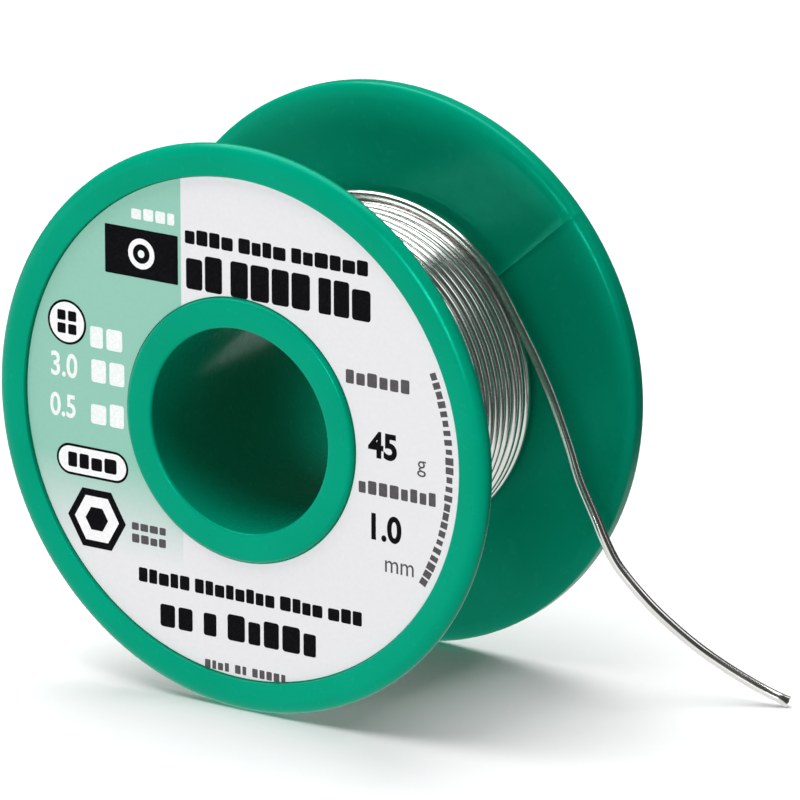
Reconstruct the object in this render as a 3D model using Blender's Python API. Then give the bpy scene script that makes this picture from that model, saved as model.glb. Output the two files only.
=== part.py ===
"""Solder wire spool: a one-piece moulded reel, its face label and 1 mm rosin-cored wire wound on it.

The spool stands on its two rims with its axis along Y, the label facing -Y and the wire's free
end on the +X side. The origin is on the ground under the middle of the spool. The wire is one
piece in real life. Here each layer of the winding, the last turn and the free end is a solid of
its own.
"""

import math

import bmesh
import bpy
from mathutils import Matrix, Vector

# Reel, in metres
FLANGE_RADIUS = 0.02775
REEL_WIDTH = 0.02805
FRONT_FLANGE_THICKNESS = 0.0017
REAR_FLANGE_THICKNESS = 0.0023
RIM_ROUNDING = 0.0005
BORE_RADIUS = 0.0100
BORE_LIP_ROUNDING = 0.0004
CORE_RADIUS = 0.01305
CORE_FILLET = 0.0003
HUB_RING_RADIUS = 0.0129
LABEL_RECESS_RADIUS = 0.0247
LABEL_RECESS_DEPTH = 0.0006
EDGE_BREAK = 0.00015
START_HOLE_RADIUS = 0.0010
SIDES = 32

# Label
LABEL_THICKNESS = 0.00015
SEAT_GAP = 0.0003

# Wire
WIRE_DIAMETER = 0.0010
FLUX_DIAMETER = 0.00041
FLUX_BORE_DIAMETER = 0.00052
LAYER_COUNT = 4
LAYER_SOLID_THICKNESS = 0.0005
LAST_TURN_RADIUS = 0.01712
LAST_TURN_Y = 0.01028
LAST_TURN_STEP = math.radians(7.5)
LAST_TURN_STEPS = 28
LEAVE_ANGLE = math.radians(32.7)
FREE_END_SPACING = 0.0025

# Worked out from the above
HALF_WIDTH = REEL_WIDTH / 2
AXIS_HEIGHT = FLANGE_RADIUS
FRONT_INNER_FACE = FRONT_FLANGE_THICKNESS - HALF_WIDTH
REAR_INNER_FACE = HALF_WIDTH - REAR_FLANGE_THICKNESS
WIRE_RADIUS = WIRE_DIAMETER / 2
LAYER_PITCH = WIRE_DIAMETER * math.sqrt(3) / 2
FACET_STRETCH = 1 / math.cos(math.pi / SIDES)

# The free end's route from the winding to the ground: (x, y, height above the ground) in mm
FREE_END_ROUTE_MM = [
(14.41, 10.28, 37.00),
    (16.42, 10.28, 33.83),
    (17.80, 10.28, 31.57),
    (19.41, 10.28, 28.55),
    (20.55, 10.28, 26.00),
    (21.62, 10.28, 23.37),
    (22.71, 10.28, 20.45),
    (24.61, 10.28, 16.78),
    (25.48, 10.35, 14.91),
    (26.90, 10.64, 12.40),
    (29.58, 11.30, 9.36),
    (32.06, 12.17, 6.96),
    (34.73, 13.12, 4.80),
    (37.73, 14.02, 2.93),
    (40.70, 14.86, 1.42),
    (42.99, 15.44, 0.52),
]


def clear_scene():
    for item in list(bpy.data.objects):
        bpy.data.objects.remove(item, do_unlink=True)


def material(name, colour, roughness, metallic=0.0):
    made = bpy.data.materials.new(name)
    made.use_nodes = True
    shader = made.node_tree.nodes["Principled BSDF"]
    shader.inputs["Base Color"].default_value = (*colour, 1.0)
    shader.inputs["Roughness"].default_value = roughness
    shader.inputs["Metallic"].default_value = metallic
    return made


def add_object(name, mesh, surface):
    """Put a mesh in the scene with the spool's axis at its origin, shaded smooth but for its edges."""
    mesh.materials.append(surface)
    mesh.shade_smooth()
    mesh.set_sharp_from_angle(angle=math.radians(30))
    made = bpy.data.objects.new(name, mesh)
    made.location = (0, 0, AXIS_HEIGHT)
    bpy.context.scene.collection.objects.link(made)
    return made


def mesh_from(bm, name):
    bmesh.ops.recalc_face_normals(bm, faces=bm.faces)
    mesh = bpy.data.meshes.new(name)
    bm.to_mesh(mesh)
    bm.free()
    return mesh


def lathe(name, profile, surface):
    """Turn a closed (radius, y) profile about the Y axis, with flats facing up, down and sideways."""
    bm = bmesh.new()
    half_step = math.pi / SIDES
    ring = []
    for radius, y in profile:
        reach = radius * FACET_STRETCH
        ring.append(bm.verts.new((reach * math.cos(half_step), y, reach * math.sin(half_step))))
    edges = [bm.edges.new((ring[i - 1], ring[i])) for i in range(len(ring))]
    bmesh.ops.spin(
        bm,
        geom=ring + edges,
        cent=(0, 0, 0),
        axis=(0, 1, 0),
        angle=2 * math.pi,
        steps=SIDES,
        use_merge=True,
    )
    return add_object(name, mesh_from(bm, name), surface)


def arc(centre, radius, start_deg, end_deg, steps):
    """Points of a rounded corner in the (radius, y) plane."""
    points = []
    for i in range(steps + 1):
        angle = math.radians(start_deg + (end_deg - start_deg) * i / steps)
        points.append((centre[0] + radius * math.cos(angle), centre[1] + radius * math.sin(angle)))
    return points


def reel_half_profile(thickness):
    """From the bore out over one face, round the rim and back in to the core, on the +Y side."""
    inner_face = HALF_WIDTH - thickness
    floor = HALF_WIDTH - LABEL_RECESS_DEPTH
    points = arc(
        (BORE_RADIUS + BORE_LIP_ROUNDING, HALF_WIDTH - BORE_LIP_ROUNDING),
        BORE_LIP_ROUNDING, 180, 90, 3,
    )
    points += [
        (HUB_RING_RADIUS - EDGE_BREAK, HALF_WIDTH),
        (HUB_RING_RADIUS, HALF_WIDTH - EDGE_BREAK),
        (HUB_RING_RADIUS, floor),
        (LABEL_RECESS_RADIUS, floor),
        (LABEL_RECESS_RADIUS, HALF_WIDTH - EDGE_BREAK),
        (LABEL_RECESS_RADIUS + EDGE_BREAK, HALF_WIDTH),
    ]
    rim_centre = FLANGE_RADIUS - RIM_ROUNDING
    points += arc((rim_centre, HALF_WIDTH - RIM_ROUNDING), RIM_ROUNDING, 90, 0, 3)
    points += arc((rim_centre, inner_face + RIM_ROUNDING), RIM_ROUNDING, 0, -90, 3)
    points += arc((CORE_RADIUS + CORE_FILLET, inner_face - CORE_FILLET), CORE_FILLET, 90, 180, 2)
    return points


def make_reel():
    """Two flanges and a hollow core in one moulding, with a hole in the rear flange for the wire."""
    rear = reel_half_profile(REAR_FLANGE_THICKNESS)
    front = [(radius, -y) for radius, y in reversed(reel_half_profile(FRONT_FLANGE_THICKNESS))]
    green = material("green_plastic", (0.002, 0.36, 0.22), 0.25)
    reel = lathe("reel", rear + front, green)

    bpy.ops.mesh.primitive_cylinder_add(
        vertices=16, radius=START_HOLE_RADIUS, depth=2 * REAR_FLANGE_THICKNESS
    )
    cutter = bpy.context.object
    cutter.name = "start_hole_cutter"
    cutter.matrix_world = start_hole_place((REAR_INNER_FACE + HALF_WIDTH) / 2)
    cutter.hide_render = True
    cutter.display_type = "WIRE"
    hole = reel.modifiers.new("start_hole", "BOOLEAN")
    hole.operation = "DIFFERENCE"
    hole.solver = "EXACT"
    hole.object = cutter


def start_hole_place(y):
    """On the left of the core as seen from the label side, pointing along the spool's axis."""
    radius = CORE_RADIUS + CORE_FILLET + START_HOLE_RADIUS
    turn = Matrix.Rotation(math.radians(90), 4, "X")
    return Matrix.Translation((-radius, y, AXIS_HEIGHT)) @ turn


def make_label():
    """A printed paper disc in the recess of the front face."""
    back = -(HALF_WIDTH - LABEL_RECESS_DEPTH + SEAT_GAP)
    front = back - LABEL_THICKNESS
    inner = HUB_RING_RADIUS + SEAT_GAP
    outer = LABEL_RECESS_RADIUS - SEAT_GAP
    paper = material("label_paper", (0.87, 0.86, 0.89), 0.5)
    lathe("front_label", [(inner, front), (outer, front), (outer, back), (inner, back)], paper)


def make_winding(solder):
    """The wound layers, as plain rings between the flanges."""
    front = FRONT_INNER_FACE + SEAT_GAP
    rear = REAR_INNER_FACE - SEAT_GAP
    for layer in range(LAYER_COUNT):
        inner = CORE_RADIUS + SEAT_GAP + layer * LAYER_PITCH
        outer = inner + LAYER_SOLID_THICKNESS
        ring = [(inner, front), (outer, front), (outer, rear), (inner, rear)]
        lathe(f"wire_layer_{layer + 1}", ring, solder)


def section_circle(bm, radius, sides):
    """A circle of points round the wire's centre line, where the last turn ends at the free end."""
    angle = LEAVE_ANGLE + SEAT_GAP / LAST_TURN_RADIUS
    circle = []
    for i in range(sides):
        around = 2 * math.pi * (i + 0.5) / sides
        reach = LAST_TURN_RADIUS + radius * math.cos(around)
        y = LAST_TURN_Y + radius * math.sin(around)
        circle.append(bm.verts.new((reach * math.cos(angle), y, reach * math.sin(angle))))
    return circle


def sweep_last_turn(bm):
    """Sweep the faces of a cross-section back along the last turn."""
    bmesh.ops.spin(
        bm,
        geom=bm.verts[:] + bm.edges[:] + bm.faces[:],
        cent=(0, 0, 0),
        axis=(0, -1, 0),
        angle=LAST_TURN_STEP * LAST_TURN_STEPS,
        steps=LAST_TURN_STEPS,
    )


def make_last_turn(solder):
    """The turn that lies on top of the winding beside the rear flange, a tube round its flux."""
    bm = bmesh.new()
    outer = section_circle(bm, WIRE_RADIUS, 8)
    inner = section_circle(bm, FLUX_BORE_DIAMETER / 2, 8)
    for i in range(len(outer)):
        bm.faces.new((outer[i - 1], outer[i], inner[i], inner[i - 1]))
    sweep_last_turn(bm)
    add_object("last_turn", mesh_from(bm, "last_turn"), solder)


def make_flux_core():
    """The thread of rosin flux inside the last turn."""
    bm = bmesh.new()
    bm.faces.new(section_circle(bm, FLUX_DIAMETER / 2, 6))
    sweep_last_turn(bm)
    rosin = material("rosin_flux", (0.75, 0.42, 0.10), 0.3)
    add_object("flux_core", mesh_from(bm, "flux_core"), rosin)


def on_curve(before, start, end, after, t):
    """A point between start and end on the smooth curve through all four points."""
    return 0.5 * (
        2 * start
        + (end - before) * t
        + (2 * before - 5 * start + 4 * end - after) * t**2
        + (3 * start - before - 3 * end + after) * t**3
    )


def smooth_line(route, spacing):
    """Evenly spaced points along the smooth curve through a route."""
    guide = [2 * route[0] - route[1], *route, 2 * route[-1] - route[-2]]
    fine = []
    for i in range(1, len(guide) - 2):
        for step in range(40):
            fine.append(on_curve(*guide[i - 1 : i + 3], step / 40))
    fine.append(route[-1])
    along = [0.0]
    for i in range(1, len(fine)):
        along.append(along[-1] + (fine[i] - fine[i - 1]).length)
    count = round(along[-1] / spacing)
    line = []
    at = 0
    for i in range(count + 1):
        goal = along[-1] * i / count
        while at < len(fine) - 2 and along[at + 1] < goal:
            at += 1
        share = (goal - along[at]) / (along[at + 1] - along[at])
        line.append(fine[at].lerp(fine[at + 1], share))
    return line


def make_curve_tube(name, points, surface):
    curve = bpy.data.curves.new(name, "CURVE")
    curve.dimensions = "3D"
    curve.bevel_depth = WIRE_RADIUS
    curve.bevel_resolution = 2
    curve.use_fill_caps = True
    spline = curve.splines.new("POLY")
    spline.points.add(len(points) - 1)
    for spot, point in zip(spline.points, points):
        spot.co = (*point, 1.0)
    curve.materials.append(surface)
    made = bpy.data.objects.new(name, curve)
    bpy.context.scene.collection.objects.link(made)
    return made


def make_free_end(solder, axle):
    """The bare end that leaves the last turn, bends down past the rim and rests its tip."""
    route = [Vector(point) / 1000 for point in FREE_END_ROUTE_MM]
    above_axis = Vector((0, 0, AXIS_HEIGHT))
    points = [point - above_axis for point in smooth_line(route, FREE_END_SPACING)]
    make_curve_tube("free_end", points, solder).parent = axle


def make_start_end(solder):
    """The wire's inner end, snipped off in the hole of the rear flange that holds it."""
    x, _, z = start_hole_place(0).translation
    inside = REAR_INNER_FACE
    outside = HALF_WIDTH - LABEL_RECESS_DEPTH + SEAT_GAP
    points = [Vector((x, inside + (outside - inside) * i / 2, z)) for i in range(3)]
    make_curve_tube("start_end", points, solder)


def make_payout_axle():
    """The axis that the free wire turns about as it comes off the spool."""
    axle = bpy.data.objects.new("payout_axle", None)
    axle.location = (0, 0, AXIS_HEIGHT)
    bpy.context.scene.collection.objects.link(axle)
    return axle


clear_scene()
solder_metal = material("solder_wire", (0.72, 0.72, 0.70), 0.22, 1.0)
make_reel()
make_label()
make_winding(solder_metal)
make_last_turn(solder_metal)
make_flux_core()
make_start_end(solder_metal)
make_free_end(solder_metal, make_payout_axle())
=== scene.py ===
import math
import random

import bmesh
import bpy
from mathutils import Matrix, Vector


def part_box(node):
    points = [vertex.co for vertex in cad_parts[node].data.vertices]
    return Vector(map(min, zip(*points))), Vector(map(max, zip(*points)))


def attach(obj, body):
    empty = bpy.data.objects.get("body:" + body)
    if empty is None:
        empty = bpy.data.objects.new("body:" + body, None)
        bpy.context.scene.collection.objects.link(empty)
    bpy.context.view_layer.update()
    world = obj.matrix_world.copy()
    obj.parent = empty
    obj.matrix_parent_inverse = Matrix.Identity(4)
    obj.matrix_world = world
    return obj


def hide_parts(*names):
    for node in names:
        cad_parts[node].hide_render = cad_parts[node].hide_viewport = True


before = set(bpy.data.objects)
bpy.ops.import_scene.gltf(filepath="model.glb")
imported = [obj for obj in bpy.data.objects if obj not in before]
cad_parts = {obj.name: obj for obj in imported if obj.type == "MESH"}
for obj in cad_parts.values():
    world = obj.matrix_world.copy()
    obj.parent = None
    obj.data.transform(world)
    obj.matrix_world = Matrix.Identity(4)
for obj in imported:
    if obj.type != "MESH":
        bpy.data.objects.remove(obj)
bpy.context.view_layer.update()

# What the frame says about the reel, in metres
REEL_LOW, REEL_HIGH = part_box("reel")
FLANGE_RADIUS = (REEL_HIGH[0] - REEL_LOW[0]) / 2
AXIS_HEIGHT = (REEL_LOW[2] + REEL_HIGH[2]) / 2
HALF_WIDTH = REEL_HIGH[1]
LAYER_LOW, LAYER_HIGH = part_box("wire_layer_4")
_, LABEL_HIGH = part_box("front_label")
START_LOW, START_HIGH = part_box("start_end")
SEAT_GAP = 0.0003
FRONT_INNER_FACE = LAYER_LOW[1] - SEAT_GAP
REAR_INNER_FACE = LAYER_HIGH[1] + SEAT_GAP
LABEL_RECESS_RADIUS = LABEL_HIGH[0] + SEAT_GAP
RECESS_FLOOR = -LABEL_HIGH[1] - SEAT_GAP

# Reel details. Each rim edge is an elliptical quarter: how far it reaches across and how deep.
FRONT_RIM_EDGES = ((0.0013, 0.0008), (0.0013, 0.0008))
REAR_RIM_EDGES = ((0.0009, 0.0008), (0.0017, 0.0006))
BORE_RADIUS = 0.0100
BORE_LIP_ROUNDING = 0.0003
CORE_RADIUS = 0.01305
CORE_FILLET = 0.0004
HUB_RING_RADIUS = 0.0129
HUB_EDGE_ROUNDING = 0.00045
EDGE_ROUNDING = 0.00012
REEL_STEPS = 192
PARTING_ANGLE = math.radians(41.1)
FLASH_HEIGHT = 0.00004
FLASH_HALF_WIDTH = 0.00009
START_HOLE_RADIUS = 0.0010
HOLE_CUTTER_DEPTH = 0.006

# Marks of the mould on the rear face
EJECTOR_COUNT = 4
EJECTOR_PLACE_RADIUS = 0.0190
EJECTOR_RADIUS = 0.0013
EJECTOR_BEAD_HEIGHT = 0.00004
GATE_PLACE_RADIUS = 0.0165
GATE_RADIUS = 0.0008
GATE_BEAD_HEIGHT = 0.00005
GATE_NUB_RADIUS = 0.0004
MARK_HALF_WIDTH = 0.00007

# Wire
WIRE_RADIUS = 0.0005
LAYER_PITCH = 2 * WIRE_RADIUS * math.sqrt(3) / 2
LAYER_TURNS = 23
TURN_SLACK = 0.000008
TURN_GAPS = {4: 0.00012, 9: 0.00010, 14: 0.00006, 20: 0.00030}
FRONT_END_GAP = 0.00005
REAR_END_GAP = 0.00030
TURN_SWELL = 0.00002
STRAND_START = math.radians(250)
LAST_TURN_RADIUS = 0.01712
LAST_TURN_SWEEP = math.radians(237)
CLIMB_SWEEP = math.radians(24)
START_LIFT = 0.0003
FREE_END_SPACING = 0.00035
TIP_PINCH_LENGTH = 0.0009
FLUX_RADIUS = 0.0002

# The free end's route from the winding to the ground: (x, y, height above the ground) in mm
FREE_END_ROUTE_MM = [
    (14.41, 10.28, 37.00),
    (16.42, 10.28, 33.83),
    (17.80, 10.28, 31.57),
    (19.41, 10.28, 28.55),
    (20.55, 10.28, 26.00),
    (21.62, 10.28, 23.37),
    (22.71, 10.28, 20.45),
    (24.61, 10.28, 16.78),
    (25.48, 10.35, 14.91),
    (26.90, 10.64, 12.40),
    (29.58, 11.30, 9.36),
    (32.06, 12.17, 6.96),
    (34.73, 13.12, 4.80),
    (37.73, 14.02, 2.93),
    (40.70, 14.86, 1.42),
    (42.99, 15.44, 0.52),
]

LEAVE_POINT = Vector(FREE_END_ROUTE_MM[0]) / 1000
LEAVE_ANGLE = math.atan2(LEAVE_POINT.z - AXIS_HEIGHT, LEAVE_POINT.x)
LAST_TURN_Y = LEAVE_POINT.y

# Label. The mint band ends at MINT_EDGE across and fades out between two heights from the axis.
LABEL_THICKNESS = 0.00017
LABEL_GLUE_GAP = 0.00001
LABEL_FACE = -RECESS_FLOOR - LABEL_THICKNESS
LABEL_MARGIN = 0.00012
LABEL_INNER = HUB_RING_RADIUS + LABEL_MARGIN
LABEL_OUTER = LABEL_RECESS_RADIUS - LABEL_MARGIN
LABEL_EDGE_ROUNDING = 0.00002
LABEL_STEPS = 192
LABEL_TURN = math.radians(0.15)
MINT_EDGE = -0.00668
MINT_FADE = (-0.0055, -0.0150)
INK_RISE = 0.000012
INK_SEAT = 0.000004

# Places of the plain marks on the label: (right of the axis, above it) in mm
PLAQUE_PLACE = (-11.2, 15.53)
BADGE_PLACE = (-19.87, 7.41)
PILL_PLACE = (-17.1, -6.15)
HEXAGON_PLACE = (-16.65, -11.68)

# Lines of blocks: seed, left end, right end, height, block height, letters in each word, gap
BLACK_LINES = (
    (3, -6.2, 14.42, 18.15, 1.47, (4, 4, 6), 0.20),
    (5, -6.1, 14.7, 14.75, 3.5, (2, 4, 3), 0.30),
)
LOWER_BLACK_LINES = (
    (7, -11.85, 13.6, -16.3, 1.4, (5, 8, 4, 3), 0.20),
    (9, -9.4, 8.4, -19.75, 2.6, (2, 1, 5), 0.40),
)
GREY_LINES = (
    (11, 11.9, 19.0, 7.4, 1.35, (6,), 0.28),
    (13, 13.3, 21.9, -3.1, 1.3, (8,), 0.28),
    (15, -4.3, 4.9, -23.85, 0.85, (4, 2, 5), 0.22),
    (17, -12.6, -8.7, -11.55, 0.85, (4,), 0.2),
    (19, -12.6, -8.7, -12.8, 0.85, (4,), 0.2),
)
PALE_LINES = (
    (23, -12.3, -7.4, 19.45, 1.15, (4,), 0.25),
    (25, -17.2, -13.5, 6.45, 2.1, (2,), 0.4),
    (27, -17.1, -13.3, 3.1, 2.25, (2,), 0.4),
    (29, -17.2, -13.4, -1.05, 2.25, (2,), 0.4),
)

# Figures and units: piece name, text, left end, middle's height, size, ink, weight, stretch
FIGURES = (
    ("figure_45", "45", 14.45, 1.24, 2.40, "black", 0.035, 0.94),
    ("figure_1_0", "1.0", 14.15, -6.80, 2.45, "black", 0.03, 0.92),
    ("unit_g", "g", 19.85, 0.25, 1.6, "grey", 0.0, 1.0),
    ("unit_mm", "mm", 16.1, -10.2, 1.75, "grey", 0.0, 0.9),
    ("figure_3_0", "3.0", -21.9, 3.15, 2.3, "pale", 0.02, 0.80),
    ("figure_0_5", "0.5", -21.95, -0.9, 2.2, "pale", 0.02, 0.80),
)
FIGURE_HEIGHT = 0.70

# Colours
GREEN = (0.000, 0.300, 0.172)
LIGHTER_GREEN = (0.000, 0.325, 0.192)
GREEN_SHINE = (0.02, 1.0, 0.68, 1)
BRIGHT_SOLDER = (0.88, 0.875, 0.855)
DULL_SOLDER = (0.77, 0.765, 0.745)
PAPER_WHITE = (0.775, 0.775, 0.795)
MINT = (0.280, 0.565, 0.455)
BLACK_INK = (0.004, 0.004, 0.005)
GREY_INK = (0.09, 0.085, 0.09)
PALE_INK = (0.80, 0.86, 0.84)
WHITE_INK = (0.86, 0.86, 0.87)
DEEP_AMBER = (0.55, 0.26, 0.05)
PALE_AMBER = (0.75, 0.45, 0.14)
FLOOR_GREY = (0.88, 0.88, 0.885)
FLOOR_WHITE = (0.90, 0.90, 0.905)

# Camera
CAMERA_AZIMUTH = math.radians(33.33)
CAMERA_ELEVATION = math.radians(17.33)
CAMERA_DISTANCE = 1.0
CAMERA_LENS = 473.5
CAMERA_AIM = (0.00835, -0.001525, -0.000131)

# Studio light. Lamps: name, place, what they point at, width, height, watts
SPOOL_MIDDLE = (0, 0, AXIS_HEIGHT)
LAMPS = (
    ("top_light", (-0.25, 0.05, 0.78), (-0.25, 0.05, 0), 0.90, 0.90, 12.0),
    ("front_light", (0, -0.9, 0.115), SPOOL_MIDDLE, 0.18, 0.18, 4.0),
    ("side_light", (0.9, 0.08, 0.26), SPOOL_MIDDLE, 0.14, 0.8, 0.28),
    ("high_light", (0.42, 0.30, 0.52), (0.035, 0.013, 0.005), 0.30, 0.30, 0.40),
)
TABLE_TILT_RIGHT = 0.6
TABLE_TILT_BACK = 0.25
TABLE_EDGE_BLUR = 0.12
TABLE_LIGHT = 0.85
ROOM_LIGHT = 0.05
WORLD_COLOUR = (1.0, 0.995, 0.99, 1)
FLOOR_HALF_SIZE = 2.0


def place_camera():
    """A long lens at the spool's right front, a little above it."""
    azimuth, elevation = CAMERA_AZIMUTH, CAMERA_ELEVATION
    back = Vector((
        math.sin(azimuth) * math.cos(elevation),
        -math.cos(azimuth) * math.cos(elevation),
        math.sin(elevation),
    ))
    right = Vector((math.cos(azimuth), math.sin(azimuth), 0))
    across, along, up = CAMERA_AIM
    aim = Vector((0, along, AXIS_HEIGHT)) + right * across + back.cross(right) * up
    lens = bpy.data.cameras.new("camera")
    lens.lens = CAMERA_LENS
    lens.sensor_width = 36
    lens.clip_start = 0.05
    lens.clip_end = 20
    camera = bpy.data.objects.new("camera", lens)
    camera.matrix_world = Matrix.Translation(aim + back * CAMERA_DISTANCE) @ (
        Matrix((right, back.cross(right), back)).transposed().to_4x4()
    )
    bpy.context.scene.collection.objects.link(camera)
    bpy.context.scene.camera = camera


# Materials

def new_material(name):
    """A material with its nodes and links."""
    made = bpy.data.materials.new(name)
    made.use_nodes = True
    return made, made.node_tree.nodes, made.node_tree.links


def scaled_position(nodes, links, scale):
    """Object coordinates stretched by scale along each axis."""
    place = nodes.new("ShaderNodeTexCoord")
    stretch = nodes.new("ShaderNodeMapping")
    stretch.inputs["Scale"].default_value = scale
    links.new(place.outputs["Object"], stretch.inputs["Vector"])
    return stretch.outputs["Vector"]


def noise(nodes, links, scale, detail, at):
    """Cloudy noise from 0 to 1 at the given coordinates."""
    made = nodes.new("ShaderNodeTexNoise")
    made.inputs["Scale"].default_value = scale
    made.inputs["Detail"].default_value = detail
    links.new(at, made.inputs["Vector"])
    return made.outputs["Fac"]


def ranged(nodes, links, value, low, high, new_low, new_high):
    """The value moved from the range low..high to new_low..new_high, and clamped to it."""
    made = nodes.new("ShaderNodeMapRange")
    made.inputs["From Min"].default_value = low
    made.inputs["From Max"].default_value = high
    made.inputs["To Min"].default_value = new_low
    made.inputs["To Max"].default_value = new_high
    links.new(value, made.inputs["Value"])
    return made.outputs["Result"]


def bump(nodes, links, height, distance, strength, before=None):
    """A surface normal roughened by a height, on top of an earlier one if given."""
    made = nodes.new("ShaderNodeBump")
    made.inputs["Distance"].default_value = distance
    made.inputs["Strength"].default_value = strength
    links.new(height, made.inputs["Height"])
    if before is not None:
        links.new(before, made.inputs["Normal"])
    return made.outputs["Normal"]


def blend_colours(nodes, links, share, first, second):
    """The first colour where share is 0, the second where it is 1."""
    made = nodes.new("ShaderNodeMix")
    made.data_type = "RGBA"
    made.inputs["A"].default_value = (*first, 1)
    made.inputs["B"].default_value = (*second, 1)
    links.new(share, made.inputs["Factor"])
    return made.outputs["Result"]


def green_plastic():
    """Glossy moulded plastic: even colour, faint flow marks, and handling scuffs in its gloss."""
    made, nodes, links = new_material("green_plastic")
    shader = nodes["Principled BSDF"]
    at = scaled_position(nodes, links, (1, 1, 1))
    cloud = noise(nodes, links, 90, 3, at)
    colour = blend_colours(
        nodes, links, ranged(nodes, links, cloud, 0.35, 0.65, 0, 1),
        GREEN, LIGHTER_GREEN,
    )
    links.new(colour, shader.inputs["Base Color"])
    scuffs = noise(nodes, links, 900, 6, scaled_position(nodes, links, (1, 3, 1)))
    rough = ranged(nodes, links, scuffs, 0.40, 0.75, 0.19, 0.32)
    links.new(rough, shader.inputs["Roughness"])
    shader.inputs["IOR"].default_value = 1.49
    shader.inputs["Specular IOR Level"].default_value = 0.25
    shader.inputs["Specular Tint"].default_value = GREEN_SHINE
    ripple = bump(nodes, links, noise(nodes, links, 220, 2, at), 0.00002, 0.25)
    grain = noise(nodes, links, 6000, 3, at)
    links.new(bump(nodes, links, grain, 0.000004, 0.35, ripple), shader.inputs["Normal"])
    return made


def solder_metal():
    """Bright drawn solder: silvery tin with die lines along the wire, dull patches and small dents."""
    made, nodes, links = new_material("solder_wire")
    shader = nodes["Principled BSDF"]
    at = scaled_position(nodes, links, (1, 1, 1))
    patches = noise(nodes, links, 260, 4, at)
    colour = blend_colours(
        nodes, links, ranged(nodes, links, patches, 0.35, 0.7, 0, 1),
        BRIGHT_SOLDER, DULL_SOLDER,
    )
    links.new(colour, shader.inputs["Base Color"])
    shader.inputs["Metallic"].default_value = 1.0
    rough = ranged(nodes, links, patches, 0.35, 0.7, 0.16, 0.26)
    links.new(rough, shader.inputs["Roughness"])
    lines = noise(nodes, links, 1, 4, die_lines(nodes, links))
    dents = bump(nodes, links, noise(nodes, links, 1500, 3, at), 0.00001, 0.22)
    links.new(bump(nodes, links, lines, 0.000006, 0.4, dents), shader.inputs["Normal"])
    return made


def die_lines(nodes, links):
    """Coordinates stretched along the wire: its UV runs along it (u) and round it (v)."""
    place = nodes.new("ShaderNodeUVMap")
    place.uv_map = "along"
    stretch = nodes.new("ShaderNodeMapping")
    stretch.inputs["Scale"].default_value = (150, 24, 1)
    links.new(place.outputs["UV"], stretch.inputs["Vector"])
    return stretch.outputs["Vector"]


def label_paper():
    """Coated white paper with fine fibre mottle and a mint band that fades out downwards."""
    made, nodes, links = new_material("label_paper")
    shader = nodes["Principled BSDF"]
    at = scaled_position(nodes, links, (1, 1, 1))
    fibres = noise(nodes, links, 2600, 5, at)
    across = nodes.new("ShaderNodeVectorMath")
    across.operation = "DOT_PRODUCT"
    across.inputs[1].default_value = (math.cos(LABEL_TURN), 0, math.sin(LABEL_TURN))
    links.new(at, across.inputs[0])
    edge = MINT_EDGE + AXIS_HEIGHT * math.sin(LABEL_TURN)
    inside = ranged(nodes, links, across.outputs["Value"], edge + 0.00002, edge - 0.00002, 0, 1)
    height = nodes.new("ShaderNodeSeparateXYZ")
    links.new(at, height.inputs["Vector"])
    full, gone = (AXIS_HEIGHT + level for level in MINT_FADE)
    strength = ranged(nodes, links, height.outputs["Z"], gone, full, 0, 1)
    share = nodes.new("ShaderNodeMath")
    share.operation = "MULTIPLY"
    links.new(inside, share.inputs[0])
    links.new(strength, share.inputs[1])
    tint = blend_colours(nodes, links, share.outputs["Value"], PAPER_WHITE, MINT)
    mottle = ranged(nodes, links, fibres, 0.3, 0.7, 0.97, 1.0)
    dull = nodes.new("ShaderNodeVectorMath")
    dull.operation = "SCALE"
    links.new(tint, dull.inputs[0])
    links.new(mottle, dull.inputs["Scale"])
    links.new(dull.outputs["Vector"], shader.inputs["Base Color"])
    shader.inputs["Roughness"].default_value = 0.45
    shader.inputs["Specular IOR Level"].default_value = 0.15
    links.new(bump(nodes, links, fibres, 0.000008, 0.25), shader.inputs["Normal"])
    return made


def ink(name, colour):
    """Flat printing ink with slightly uneven cover."""
    made, nodes, links = new_material(name)
    shader = nodes["Principled BSDF"]
    cover = noise(nodes, links, 4000, 4, scaled_position(nodes, links, (1, 1, 1)))
    lighter = tuple(min(1, part * 1.25 + 0.003) for part in colour)
    shade = blend_colours(
        nodes, links, ranged(nodes, links, cover, 0.45, 0.75, 0, 1), colour, lighter
    )
    links.new(shade, shader.inputs["Base Color"])
    rough = ranged(nodes, links, cover, 0.3, 0.7, 0.35, 0.5)
    links.new(rough, shader.inputs["Roughness"])
    shader.inputs["Specular IOR Level"].default_value = 0.02
    return made


def rosin():
    """Amber rosin flux, a little cloudy."""
    made, nodes, links = new_material("rosin_flux")
    shader = nodes["Principled BSDF"]
    cloud = noise(nodes, links, 5000, 3, scaled_position(nodes, links, (1, 1, 1)))
    colour = blend_colours(nodes, links, cloud, DEEP_AMBER, PALE_AMBER)
    links.new(colour, shader.inputs["Base Color"])
    shader.inputs["Roughness"].default_value = 0.28
    return made


def floor_material():
    """Plain white board, almost matt."""
    made, nodes, links = new_material("floor")
    shader = nodes["Principled BSDF"]
    grain = noise(nodes, links, 400, 3, scaled_position(nodes, links, (1, 1, 1)))
    colour = blend_colours(nodes, links, grain, FLOOR_GREY, FLOOR_WHITE)
    links.new(colour, shader.inputs["Base Color"])
    shader.inputs["Roughness"].default_value = 0.75
    shader.inputs["Specular IOR Level"].default_value = 0.2
    return made


# Mesh helpers

def add_piece(name, mesh, surface, body, sharp_deg=35):
    """A visual piece with its material, riding on a body of the frame."""
    mesh.materials.append(surface)
    mesh.shade_smooth()
    mesh.set_sharp_from_angle(angle=math.radians(sharp_deg))
    made = bpy.data.objects.new(name, mesh)
    bpy.context.scene.collection.objects.link(made)
    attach(made, body)
    return made


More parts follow.
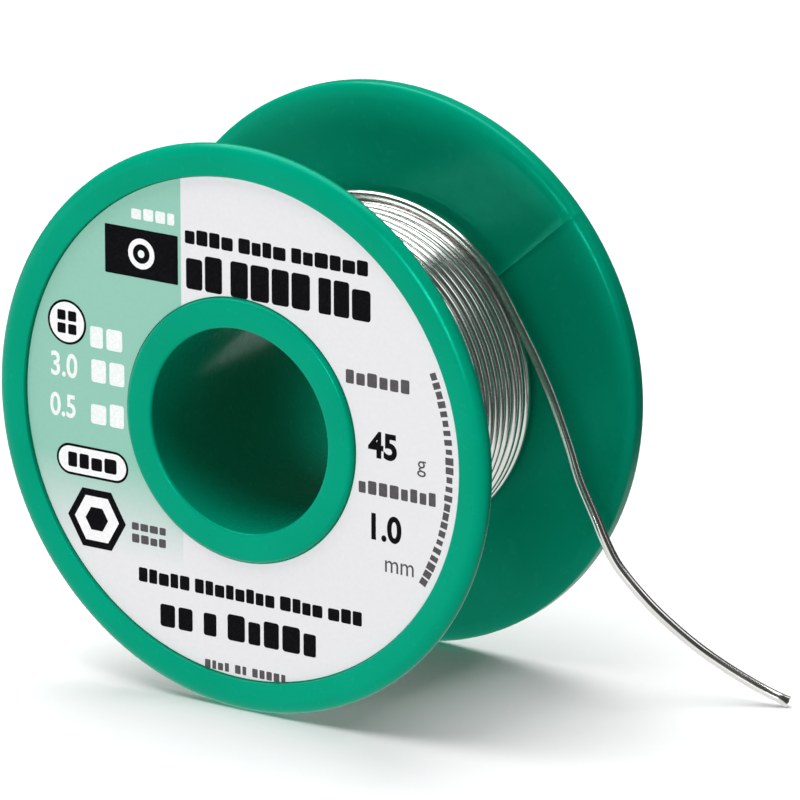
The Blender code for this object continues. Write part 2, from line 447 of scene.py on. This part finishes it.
def mesh_from(bm, name):
    """A mesh with its normals facing out."""
    bmesh.ops.recalc_face_normals(bm, faces=bm.faces)
    mesh = bpy.data.meshes.new(name)
    bm.to_mesh(mesh)
    bm.free()
    return mesh


def arc(centre, reach, start_deg, end_deg, steps):
    """Points of a rounded corner in the (radius, y) plane, an ellipse of the given half axes."""
    points = []
    for i in range(steps + 1):
        angle = math.radians(start_deg + (end_deg - start_deg) * i / steps)
        points.append((
            centre[0] + reach[0] * math.cos(angle), centre[1] + reach[1] * math.sin(angle)
        ))
    return points


# Reel

def reel_half_profile(edges, inner_face):
    """(points, slide) pairs for the +Y half, from the bore over the face and rim to the core.

    slide is 1 where the mould's side slides met, on the rim, the inner face and the core, and 0
    elsewhere.
    """
    small = EDGE_ROUNDING
    lip = BORE_LIP_ROUNDING
    hub = HUB_EDGE_ROUNDING
    outside = [(BORE_RADIUS - 0.00004, 0.004), (BORE_RADIUS, 0.009)]
    outside += arc((BORE_RADIUS + lip, HALF_WIDTH - lip), (lip, lip), 180, 90, 8)
    outside += arc((HUB_RING_RADIUS - hub, HALF_WIDTH - hub), (hub, hub), 90, 0, 8)
    outside += arc((HUB_RING_RADIUS + small, RECESS_FLOOR + small), (small, small), 180, 270, 4)
    outside += arc((LABEL_RECESS_RADIUS - small, RECESS_FLOOR + small), (small, small), 270, 360, 4)
    outside += arc((LABEL_RECESS_RADIUS + small, HALF_WIDTH - small), (small, small), 180, 90, 4)
    (across, deep), (inner_across, inner_deep) = edges
    outside += arc((FLANGE_RADIUS - across, HALF_WIDTH - deep), (across, deep), 90, 0, 16)
    inside = arc(
        (FLANGE_RADIUS - inner_across, inner_face + inner_deep), (inner_across, inner_deep),
        0, -90, 16,
    )
    inside += [(radius / 1000, inner_face) for radius in (24, 21, 18, 15)]
    inside += arc(
        (CORE_RADIUS + CORE_FILLET, inner_face - CORE_FILLET), (CORE_FILLET, CORE_FILLET),
        90, 180, 6,
    )
    return [(point, 0) for point in outside] + [(point, 1) for point in inside]


def outward(profile, i):
    """The unit normal of a closed (radius, y) profile at its point i, away from the material."""
    (r0, y0), (r1, y1) = profile[i - 1], profile[(i + 1) % len(profile)]
    across = Vector((y1 - y0, r0 - r1))
    return across.normalized()


def reel_angles():
    """Even steps round the axis, with three close ones at each of the two parting lines."""
    step = 2 * math.pi / REEL_STEPS
    spread = FLASH_HALF_WIDTH / (FLANGE_RADIUS * 0.75)
    marks = []
    for line in (PARTING_ANGLE, PARTING_ANGLE + math.pi):
        marks += [(line - spread, 0.0), (line, 1.0), (line + spread, 0.0)]
    plain = []
    for i in range(REEL_STEPS):
        angle = i * step
        if all(abs(angle - mark) > step / 3 for mark, _ in marks):
            plain.append((angle, 0.0))
    return sorted(plain + marks)


def reel_mesh():
    """The whole reel turned about its axis, with a low flash line where the slides met."""
    rear = reel_half_profile(REAR_RIM_EDGES, REAR_INNER_FACE)
    front = reel_half_profile(FRONT_RIM_EDGES, -FRONT_INNER_FACE)
    marked = rear + [((radius, -y), slide) for (radius, y), slide in reversed(front)]
    profile = [point for point, _ in marked]
    normals = [outward(profile, i) for i in range(len(profile))]
    rim_at = max(range(len(profile)), key=lambda i: profile[i][0])
    sign = 1 if normals[rim_at].x > 0 else -1
    bm = bmesh.new()
    columns = []
    for angle, flash in reel_angles():
        column = []
        for (point, slide), normal in zip(marked, normals):
            lift = sign * FLASH_HEIGHT * flash * slide
            radius = min(point[0] + normal.x * lift, FLANGE_RADIUS + FLASH_HEIGHT)
            y = point[1] + normal.y * lift
            column.append(bm.verts.new((
                radius * math.cos(angle), y, AXIS_HEIGHT + radius * math.sin(angle)
            )))
        columns.append(column)
    for i in range(len(columns)):
        one, two = columns[i - 1], columns[i]
        for j in range(len(profile)):
            bm.faces.new((one[j - 1], one[j], two[j], two[j - 1]))
    return mesh_from(bm, "moulded_reel")


def cut_start_hole(reel):
    """The hole in the rear flange that holds the wire's inner end."""
    x = (START_LOW[0] + START_HIGH[0]) / 2
    bm = bmesh.new()
    bmesh.ops.create_cone(
        bm, cap_ends=True, segments=40,
        radius1=START_HOLE_RADIUS, radius2=START_HOLE_RADIUS, depth=HOLE_CUTTER_DEPTH,
        matrix=Matrix.Translation((x, (REAR_INNER_FACE + HALF_WIDTH) / 2, AXIS_HEIGHT))
        @ Matrix.Rotation(math.radians(90), 4, "X"),
    )
    cutter = bpy.data.objects.new("hole_cutter", mesh_from(bm, "hole_cutter"))
    bpy.context.scene.collection.objects.link(cutter)
    cut = reel.modifiers.new("hole", "BOOLEAN")
    cut.operation = "DIFFERENCE"
    cut.solver = "EXACT"
    cut.object = cutter
    bpy.context.view_layer.update()
    shaped = bpy.data.meshes.new_from_object(
        reel.evaluated_get(bpy.context.evaluated_depsgraph_get())
    )
    reel.modifiers.clear()
    reel.data = shaped
    bpy.data.objects.remove(cutter)


def make_reel(plastic):
    """The moulded reel with its start hole."""
    reel = add_piece("moulded_reel", reel_mesh(), plastic, "spool")
    cut_start_hole(reel)
    reel.data.shade_smooth()
    reel.data.set_sharp_from_angle(angle=math.radians(40))
    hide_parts("reel")


def ring_bead(bm, x, z, radius, half_width, y, height, steps=40):
    """A low round bead in a ring on a face that looks along +Y."""
    rows = [(radius - half_width, 0.0), (radius, height), (radius + half_width, 0.0)]
    rows = [(reach, y + rise) for reach, rise in rows] + [(radius, y - half_width)]
    columns = []
    for i in range(steps):
        angle = 2 * math.pi * i / steps
        columns.append([
            bm.verts.new((x + reach * math.cos(angle), at, z + reach * math.sin(angle)))
            for reach, at in rows
        ])
    for i in range(steps):
        for j in range(len(rows)):
            bm.faces.new((
                columns[i - 1][j - 1], columns[i - 1][j], columns[i][j], columns[i][j - 1]
            ))


def make_mould_marks(plastic):
    """Witness rings of the ejector pins and the gate's stub on the bare rear face."""
    bm = bmesh.new()
    for i in range(EJECTOR_COUNT):
        angle = 2 * math.pi * (i + 0.5) / EJECTOR_COUNT
        x = EJECTOR_PLACE_RADIUS * math.cos(angle)
        z = AXIS_HEIGHT + EJECTOR_PLACE_RADIUS * math.sin(angle)
        ring_bead(bm, x, z, EJECTOR_RADIUS, MARK_HALF_WIDTH, RECESS_FLOOR, EJECTOR_BEAD_HEIGHT)
    gate_z = AXIS_HEIGHT + GATE_PLACE_RADIUS
    ring_bead(bm, 0, gate_z, GATE_RADIUS, MARK_HALF_WIDTH, RECESS_FLOOR, GATE_BEAD_HEIGHT)
    bmesh.ops.create_icosphere(
        bm, subdivisions=3, radius=GATE_NUB_RADIUS,
        matrix=Matrix.Translation((0, RECESS_FLOOR, gate_z)) @ Matrix.Diagonal((1, 0.45, 1, 1)),
    )
    marks = add_piece("mould_marks", mesh_from(bm, "mould_marks"), plastic, "spool")


# Wire

def on_curve(before, start, end, after, t):
    """A point between start and end on the smooth curve through all four points."""
    return 0.5 * (
        2 * start
        + (end - before) * t
        + (2 * before - 5 * start + 4 * end - after) * t**2
        + (3 * start - before - 3 * end + after) * t**3
    )


def smooth_line(route, spacing):
    """Evenly spaced points along the smooth curve through a route."""
    guide = [2 * route[0] - route[1], *route, 2 * route[-1] - route[-2]]
    fine = []
    for i in range(1, len(guide) - 2):
        for step in range(40):
            fine.append(on_curve(*guide[i - 1 : i + 3], step / 40))
    fine.append(route[-1])
    along = [0.0]
    for i in range(1, len(fine)):
        along.append(along[-1] + (fine[i] - fine[i - 1]).length)
    count = round(along[-1] / spacing)
    line = []
    at = 0
    for i in range(count + 1):
        goal = along[-1] * i / count
        while at < len(fine) - 2 and along[at + 1] < goal:
            at += 1
        share = (goal - along[at]) / (along[at + 1] - along[at])
        line.append(fine[at].lerp(fine[at + 1], share))
    return line


def tube_mesh(name, points, radius, sides, shape=None):
    """A closed tube along points. shape(i) gives the section's scale across and along its frame."""
    bm = bmesh.new()
    uv = bm.loops.layers.uv.new("along")
    count = len(points)
    side = (points[1] - points[0]).normalized().orthogonal().normalized()
    rings = []
    distance = [0.0]
    for i in range(count):
        ahead = points[min(i + 1, count - 1)] - points[max(i - 1, 0)]
        tangent = ahead.normalized()
        side = (side - tangent * side.dot(tangent)).normalized()
        other = tangent.cross(side)
        wide, thin = shape(i) if shape else (1, 1)
        ring = []
        for j in range(sides):
            angle = 2 * math.pi * j / sides
            offset = side * math.cos(angle) * wide + other * math.sin(angle) * thin
            ring.append(bm.verts.new(points[i] + offset * radius))
        rings.append(ring)
        if i:
            distance.append(distance[-1] + (points[i] - points[i - 1]).length)
    for i in range(1, count):
        for j in range(sides):
            face = bm.faces.new((rings[i - 1][j - 1], rings[i - 1][j], rings[i][j], rings[i][j - 1]))
            spots = ((i - 1, j), (i - 1, j + 1), (i, j + 1), (i, j))
            for loop, (step, turn) in zip(face.loops, spots):
                loop[uv].uv = (distance[step], turn / sides)
    bm.faces.new(rings[0])
    bm.faces.new(list(reversed(rings[-1])))
    return mesh_from(bm, name)


def make_layer(layer, steps, sides, metal):
    """One layer of the winding: a helix of turns side by side, the hand alternating by layer."""
    radius = CORE_RADIUS + WIRE_RADIUS + layer * LAYER_PITCH
    first = FRONT_INNER_FACE + WIRE_RADIUS + FRONT_END_GAP
    last_y = REAR_INNER_FACE - WIRE_RADIUS - REAR_END_GAP
    turn_y = [0.0]
    for turn in range(1, LAYER_TURNS):
        turn_y.append(turn_y[-1] + 2 * WIRE_RADIUS + TURN_SLACK + TURN_GAPS.get(turn, 0))
    stretch = last_y - first - turn_y[-1]
    turn_y = [first + y + stretch * i / (LAYER_TURNS - 1) for i, y in enumerate(turn_y)]
    if layer % 2 == 0:
        turn_y = [first + last_y - y for y in turn_y]
    points = []
    for i in range(LAYER_TURNS * steps + 1):
        turns_done = i / steps
        whole = min(int(turns_done), LAYER_TURNS - 1)
        along = min(turns_done - whole, 1)
        ahead = turn_y[min(whole + 1, LAYER_TURNS - 1)]
        y = turn_y[whole] + (ahead - turn_y[whole]) * settle(along)
        swell = TURN_SWELL * math.sin(1.7 * turns_done + 2 * layer)
        angle = STRAND_START - 2 * math.pi * turns_done
        reach_out = radius + swell
        points.append(Vector((
            reach_out * math.cos(angle), y, AXIS_HEIGHT + reach_out * math.sin(angle)
        )))
    mesh = tube_mesh(f"wound_layer_{layer + 1}", points, WIRE_RADIUS, sides)
    wire = add_piece(f"wound_layer_{layer + 1}", mesh, metal, "spool")
    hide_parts(f"wire_layer_{layer + 1}")


def settle(share):
    """Eases a strand from one turn to the next over the back of the winding."""
    low, high = 0.25, 0.75
    t = min(max((share - low) / (high - low), 0), 1)
    return t * t * (3 - 2 * t)


def last_turn_line():
    """From where the wire climbs out of the top layer, over the winding to where it leaves."""
    start_radius = CORE_RADIUS + WIRE_RADIUS + 3 * LAYER_PITCH + START_LIFT
    points = []
    steps = 200
    for i in range(steps + 1):
        back = LAST_TURN_SWEEP * (1 - i / steps)
        climb = min((LAST_TURN_SWEEP - back) / CLIMB_SWEEP, 1)
        climb = climb * climb * (3 - 2 * climb)
        radius = start_radius + (LAST_TURN_RADIUS - start_radius) * climb
        angle = LEAVE_ANGLE + back
        points.append(Vector((
            radius * math.cos(angle), LAST_TURN_Y, AXIS_HEIGHT + radius * math.sin(angle)
        )))
    return points


def make_free_wire(metal, flux):
    """The last turn and the free end, one wire that meets face to face where it leaves."""
    turn = last_turn_line()
    mesh = tube_mesh("last_wound_turn", turn, WIRE_RADIUS, 20)
    wound = add_piece("last_wound_turn", mesh, metal, "free_wire")
    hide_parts("last_turn")

    route = [Vector(point) / 1000 for point in FREE_END_ROUTE_MM]
    line = smooth_line(route, FREE_END_SPACING)
    spacing = (line[1] - line[0]).length
    count = len(line)

    def pinched(i):
        """The snipped tip: nipped thin by the cutters and spread a little sideways."""
        left = (count - 1 - i) * spacing
        nip = max(0.0, 1 - left / TIP_PINCH_LENGTH) ** 2
        return 1 + 0.12 * nip, 1 - 0.62 * nip

    mesh = tube_mesh("free_wire_end", line, WIRE_RADIUS, 20, pinched)
    end = add_piece("free_wire_end", mesh, metal, "free_wire")
    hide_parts("free_end")
    tip = flux_spot("tip_flux", line[-1], (line[-1] - line[-2]).normalized(), 0.35, flux)


def flux_spot(name, place, facing, squash, flux, body="free_wire"):
    """A small domed spot of flux in the middle of a cut end."""
    bm = bmesh.new()
    turn = facing.to_track_quat("Z", "Y").to_matrix().to_4x4()
    bmesh.ops.create_uvsphere(
        bm, u_segments=20, v_segments=10, radius=FLUX_RADIUS,
        matrix=Matrix.Translation(place) @ turn @ Matrix.Diagonal((1, squash, 0.25, 1)),
    )
    spot = add_piece(name, mesh_from(bm, name), flux, body)
    return spot


def make_start_end(metal, flux):
    """The wire's inner end, snipped just inside the rear flange's hole."""
    x = (START_LOW[0] + START_HIGH[0]) / 2
    z = (START_LOW[2] + START_HIGH[2]) / 2
    low, high = START_LOW[1], START_HIGH[1]
    line = [Vector((x, low + (high - low) * i / 12, z)) for i in range(13)]

    def nipped(i):
        nip = max(0.0, (i - 9) / 3)
        return 1, 1 - 0.35 * nip * nip

    mesh = tube_mesh("snipped_start", line, WIRE_RADIUS, 24, nipped)
    stub = add_piece("snipped_start", mesh, metal, "spool")
    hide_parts("start_end")
    flux_spot("start_flux", line[-1], Vector((0, 1, 0)), 0.65, flux, "spool")


# Label

def make_label(paper):
    """The printed paper ring."""
    bm = bmesh.new()
    back = -RECESS_FLOOR - LABEL_GLUE_GAP
    edge = LABEL_EDGE_ROUNDING
    rows = [
        (LABEL_INNER, back), (LABEL_INNER, LABEL_FACE + edge), (LABEL_INNER + edge, LABEL_FACE),
        (LABEL_OUTER - edge, LABEL_FACE), (LABEL_OUTER, LABEL_FACE + edge), (LABEL_OUTER, back),
    ]
    columns = []
    for i in range(LABEL_STEPS):
        angle = 2 * math.pi * i / LABEL_STEPS
        columns.append([
            bm.verts.new((reach * math.cos(angle), y, AXIS_HEIGHT + reach * math.sin(angle)))
            for reach, y in rows
        ])
    for i in range(LABEL_STEPS):
        for j in range(len(rows)):
            bm.faces.new((
                columns[i - 1][j - 1], columns[i - 1][j], columns[i][j], columns[i][j - 1]
            ))
    label = add_piece("printed_label", mesh_from(bm, "printed_label"), paper, "spool")
    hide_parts("front_label")


def on_label(u, v, rise):
    """A spot on the label from millimetres right of and above the spool's axis."""
    u, v = (
        u * math.cos(LABEL_TURN) - v * math.sin(LABEL_TURN),
        u * math.sin(LABEL_TURN) + v * math.cos(LABEL_TURN),
    )
    return Vector((u / 1000, LABEL_FACE - rise, AXIS_HEIGHT + v / 1000))


def print_shapes(name, outlines, surface, rise=INK_RISE, base=INK_SEAT):
    """Closed outlines printed on the label as one layer of ink."""
    bm = bmesh.new()
    for outline in outlines:
        top = [bm.verts.new(on_label(u, v, rise)) for u, v in outline]
        bottom = [bm.verts.new(on_label(u, v, -base)) for u, v in outline]
        bm.faces.new(top)
        bm.faces.new(list(reversed(bottom)))
        for i in range(len(top)):
            bm.faces.new((top[i - 1], bottom[i - 1], bottom[i], top[i]))
    bmesh.ops.triangulate(bm, faces=[face for face in bm.faces if len(face.verts) > 4])
    made = add_piece(name, mesh_from(bm, name), surface, "spool", 20)
    return made


def rounded(u, v, width, height, corner, steps=4):
    """A rectangle with round corners, centred at (u, v)."""
    points = []
    for across, up, start in ((1, 1, 0), (-1, 1, 90), (-1, -1, 180), (1, -1, 270)):
        for i in range(steps + 1):
            angle = math.radians(start + 90 * i / steps)
            points.append((
                u + across * (width / 2 - corner) + corner * math.cos(angle),
                v + up * (height / 2 - corner) + corner * math.sin(angle),
            ))
    return points


def block_line(seed, left, right, v, height, letters, gap):
    """A line of plain blocks in word-sized groups, standing in for printed words."""
    dice = random.Random(seed)
    widths = []
    for word in letters:
        widths += [[dice.uniform(0.75, 1.15) for _ in range(word)]]
    space = 2.2 * gap
    total = sum(map(sum, widths))
    gaps = sum(len(word) - 1 for word in widths) * gap + (len(widths) - 1) * (space + gap)
    scale = (right - left - gaps) / total
    shapes = []
    at = left
    for word in widths:
        for share in word:
            width = share * scale
            tall = height * dice.choice((1, 1, 0.86))
            shapes.append(rounded(
                at + width / 2, v - (height - tall) / 2, width, tall, min(width, tall) * 0.16
            ))
            at += width + gap
        at += space
    return shapes


def block_lines(lines):
    """Several lines of blocks as one list of outlines."""
    return [shape for line in lines for shape in block_line(*line)]


def block_arc(seed, radius, start_deg, end_deg, count, height, width):
    """Small blocks along an arc of the label's edge."""
    dice = random.Random(seed)
    shapes = []
    for i in range(count):
        middle = math.radians(start_deg + (end_deg - start_deg) * (i + 0.5) / count)
        tall = height * dice.uniform(0.7, 1)
        wide = width * dice.uniform(0.6, 1)
        outline = []
        for across, up in ((-1, -1), (1, -1), (1, 1), (-1, 1)):
            reach = radius + up * tall / 2
            angle = middle + across * wide / 2 / radius
            outline.append((reach * math.cos(angle), reach * math.sin(angle)))
        shapes.append(outline)
    return shapes


def circle(u, v, radius, steps=48):
    """A round outline, or an even polygon when it has few steps."""
    angles = [2 * math.pi * i / steps for i in range(steps)]
    return [(u + radius * math.cos(angle), v + radius * math.sin(angle)) for angle in angles]


def hexagon(u, v, radius):
    """A six-sided outline with a corner at each side."""
    return circle(u, v, radius, 6)


def print_digits(name, text, left, v, height, surface, weight=0.0, stretch=1.0):
    """Numbers and units in plain figures."""
    letters = bpy.data.curves.new(name, "FONT")
    letters.body = text
    letters.size = 1.0
    letters.offset = weight
    letters.extrude = 0.001
    shown = bpy.data.objects.new(name, letters)
    bpy.context.scene.collection.objects.link(shown)
    bpy.context.view_layer.update()
    mesh = bpy.data.meshes.new_from_object(
        shown.evaluated_get(bpy.context.evaluated_depsgraph_get())
    )
    bpy.data.objects.remove(shown)
    scale = height / FIGURE_HEIGHT
    for vertex in mesh.vertices:
        u = left + vertex.co.x * scale * stretch
        w = v - height / 2 + vertex.co.y * scale
        vertex.co = on_label(u, w, INK_RISE if vertex.co.z > 0 else -INK_SEAT)
    mesh.name = name
    bm = bmesh.new()
    bm.from_mesh(mesh)
    bmesh.ops.remove_doubles(bm, verts=bm.verts, dist=1e-7)
    bmesh.ops.recalc_face_normals(bm, faces=bm.faces)
    bm.to_mesh(mesh)
    bm.free()
    mesh.materials.clear()
    made = add_piece(name, mesh, surface, "spool", 20)


def make_print():
    """Everything printed on the label: plain blocks for words, simple badges, and figures."""
    inks = {
        "black": ink("black_ink", BLACK_INK),
        "grey": ink("grey_ink", GREY_INK),
        "pale": ink("pale_ink", PALE_INK),
    }

    bold = block_lines(BLACK_LINES)
    bold += [rounded(*PLAQUE_PLACE, 8.35, 4.8, 0.12)]
    bold += block_lines(LOWER_BLACK_LINES)
    bold += [circle(*BADGE_PLACE, 2.22)]
    bold += [rounded(*PILL_PLACE, 8.3, 3.1, 1.54, 8)]
    bold += [hexagon(*HEXAGON_PLACE, 3.35)]
    print_shapes("black_print", bold, inks["black"])

    soft = block_lines(GREY_LINES)
    soft += block_arc(21, 23.45, 23.5, -30, 24, 0.9, 0.8)
    print_shapes("grey_print", soft, inks["grey"])

    print_shapes("pale_print", block_lines(PALE_LINES), inks["pale"])

    over = INK_RISE * 2
    knocked = [circle(*PLAQUE_PLACE, 1.5), circle(*BADGE_PLACE, 1.98)]
    knocked += [rounded(*PILL_PLACE, 7.8, 2.6, 1.29, 8), hexagon(*HEXAGON_PLACE, 2.55)]
    print_shapes("white_print", knocked, ink("white_ink", WHITE_INK), over, -INK_RISE)

    inner = [circle(*PLAQUE_PLACE, 0.95)]
    for across in (-0.62, 0.62):
        for up in (-0.65, 0.65):
            inner += [rounded(BADGE_PLACE[0] + across, BADGE_PLACE[1] + up, 0.95, 1.0, 0.15)]
    inner += block_line(31, -19.9, -14.3, PILL_PLACE[1], 1.45, (4,), 0.28)
    inner += [hexagon(*HEXAGON_PLACE, 1.3)]
    print_shapes("badge_print", inner, inks["black"], over + INK_RISE, -over)
    dot = [circle(*PLAQUE_PLACE, 0.38)]
    print_shapes("badge_dot", dot, inks["pale"], over + 2 * INK_RISE, -over)

    for name, text, left, v, height, colour, weight, stretch in FIGURES:
        print_digits(name, text, left, v, height, inks[colour], weight, stretch)


# Studio

def soft_light(name, place, aim, width, height, power):
    """A soft box that points at a spot."""
    lamp = bpy.data.lights.new(name, "AREA")
    lamp.shape = "RECTANGLE"
    lamp.size = width
    lamp.size_y = height
    lamp.energy = power
    made = bpy.data.objects.new(name, lamp)
    made.location = place
    made.rotation_euler = (Vector(place) - Vector(aim)).to_track_quat("Z", "Y").to_euler()
    bpy.context.scene.collection.objects.link(made)


def weighted_sum(nodes, links, terms):
    """Adds up sources, each times its factor."""
    total = None
    for source, factor in terms:
        term = nodes.new("ShaderNodeMath")
        term.operation = "MULTIPLY_ADD"
        term.inputs[1].default_value = factor
        term.inputs[2].default_value = 0
        links.new(source, term.inputs[0])
        if total is not None:
            links.new(total, term.inputs[2])
        total = term.outputs["Value"]
    return total


def make_world():
    """Soft surroundings: a bright table, which ends sooner on the right, and a dim room above."""
    world = bpy.data.worlds.new("studio")
    world.use_nodes = True
    nodes, links = world.node_tree.nodes, world.node_tree.links
    place = nodes.new("ShaderNodeTexCoord")
    parts = nodes.new("ShaderNodeSeparateXYZ")
    links.new(place.outputs["Generated"], parts.inputs["Vector"])
    x, y, z = (parts.outputs[axis] for axis in "XYZ")
    right = nodes.new("ShaderNodeMath")
    right.operation = "MAXIMUM"
    right.inputs[1].default_value = 0
    links.new(x, right.inputs[0])
    below = weighted_sum(nodes, links, (
        (right.outputs["Value"], -TABLE_TILT_RIGHT), (y, -TABLE_TILT_BACK), (z, -1.0),
    ))
    glow = ranged(nodes, links, below, 0.0, TABLE_EDGE_BLUR, ROOM_LIGHT, TABLE_LIGHT)
    links.new(glow, nodes["Background"].inputs["Strength"])
    nodes["Background"].inputs["Color"].default_value = WORLD_COLOUR
    bpy.context.scene.world = world


def make_studio():
    """A pale floor under four soft boxes: a large one overhead, one in front, a narrow one on the
    right and a small one high on the right for the free end. The world's lower half lights the
    spool from below as the bright table does, so the floor is left out of its reflections."""
    bm = bmesh.new()
    bmesh.ops.create_grid(bm, x_segments=1, y_segments=1, size=FLOOR_HALF_SIZE)
    mesh = bpy.data.meshes.new("floor")
    bm.to_mesh(mesh)
    bm.free()
    mesh.materials.append(floor_material())
    ground = bpy.data.objects.new("floor", mesh)
    ground.visible_diffuse = False
    ground.visible_glossy = False
    ground.visible_shadow = False
    bpy.context.scene.collection.objects.link(ground)
    for lamp in LAMPS:
        soft_light(*lamp)
    make_world()
    bpy.context.scene.view_settings.view_transform = "Standard"


place_camera()
solder = solder_metal()
amber = rosin()
make_free_wire(solder, amber)
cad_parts["flux_core"].data.materials.clear()
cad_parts["flux_core"].data.materials.append(amber)
plastic = green_plastic()
make_reel(plastic)
make_mould_marks(plastic)
for number in range(3):
    make_layer(number, 48, 8, solder)
make_layer(3, 128, 14, solder)
make_start_end(solder, amber)
make_label(label_paper())
make_print()
make_studio()
